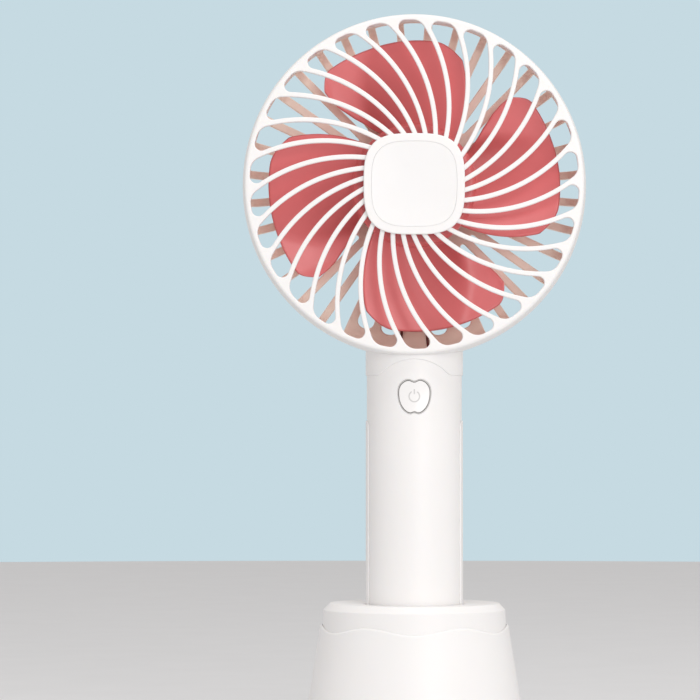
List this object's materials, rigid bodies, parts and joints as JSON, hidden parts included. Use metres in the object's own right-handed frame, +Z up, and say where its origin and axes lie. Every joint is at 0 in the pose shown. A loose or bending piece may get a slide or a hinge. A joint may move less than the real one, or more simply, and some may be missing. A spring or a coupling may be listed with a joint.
{
  "type": "handheld electric fan with dock",
  "caption": "Handheld electric fan with a round guarded head, curved front ribs, coral blades and a tubular handle, standing in a tapered round dock.",
  "frame": {"origin": "centre of the dock's underside, on the surface it stands on", "axes": "+Z up along the handle; the front guard faces -Y; +X is to the right of someone facing the guard"},
  "size_m": [0.1048, 0.0688, 0.222],
  "materials": {
    "white_shell": "fine satin moulding",
    "white_dock": "fine satin moulding",
    "white_button": "semi-gloss",
    "grey_trim": "matte",
    "rose_grille": "satin",
    "coral_blades": "satin gloss",
    "dark_plastic": "matte",
    "steel": "plain",
    "plated_can": "zinc plated",
    "brass": "sintered",
    "copper_winding": "enamelled wire over steel",
    "magnet": "ferrite",
    "circuit_board": "solder mask",
    "led_lens": "clear lens",
    "cell_wrap": "shrink wrap",
    "lead_sleeve": "satin",
    "foot_rubber": "matte"
  },
  "bodies": {
    "dock": {"dock_top": "white_dock", "dock_skirt": "white_dock", "dock_floor": "white_dock", "dock_screws": "steel", "foot_pad": "foot_rubber"},
    "fan": {"front_guard": "white_shell", "cap_rim": "white_shell", "cap_panel": "white_shell", "ring_housing": "white_shell", "rear_grille": "rose_grille", "motor_cover": "white_shell", "motor_can": "plated_can", "motor_end_cap": "dark_plastic", "front_bush": "brass", "rear_bush": "brass", "motor_magnets": "magnet", "motor_brushes": "brass", "motor_screws": "steel", "motor_leads": "lead_sleeve", "handle_front": "white_shell", "handle_back": "white_shell", "battery_cover": "white_shell", "end_cap": "white_shell", "handle_screws": "steel", "button_trim": "grey_trim", "tact_switch": "plated_can", "circuit_board": "circuit_board", "control_chip": "dark_plastic", "status_led": "led_lens", "usb_shell": "plated_can", "usb_tongue": "dark_plastic", "battery_cell": "cell_wrap", "contact_spring": "steel", "contact_plate": "steel", "battery_lead": "lead_sleeve"},
    "rotor": {"impeller": "coral_blades", "motor_shaft": "steel", "armature": "copper_winding", "commutator": "brass"},
    "button": {"button": "white_button"},
    "plunger": {"switch_plunger": "dark_plastic"}
  },
  "joints": [
    {"name": "lift_out", "type": "slide", "parent": "dock", "child": "fan", "axis": [0, 0, 1], "range_m": [0, 0.045]},
    {"name": "fan_spin", "type": "hinge", "parent": "fan", "child": "rotor", "pos_m": [0, 0, 0.1696], "axis": [0, -1, 0], "continuous": true},
    {"name": "button_press", "type": "slide", "parent": "fan", "child": "button", "axis": [0, 1, 0], "range_m": [0, 0.0004], "stiffness_N_per_m": 400},
    {"name": "plunger_press", "type": "slide", "parent": "fan", "child": "plunger", "axis": [0, 1, 0], "range_m": [0, 0.0004]}
  ],
  "couplings": [
    {"joint": "plunger_press", "follows": "button_press", "ratio": 1}
  ]
}
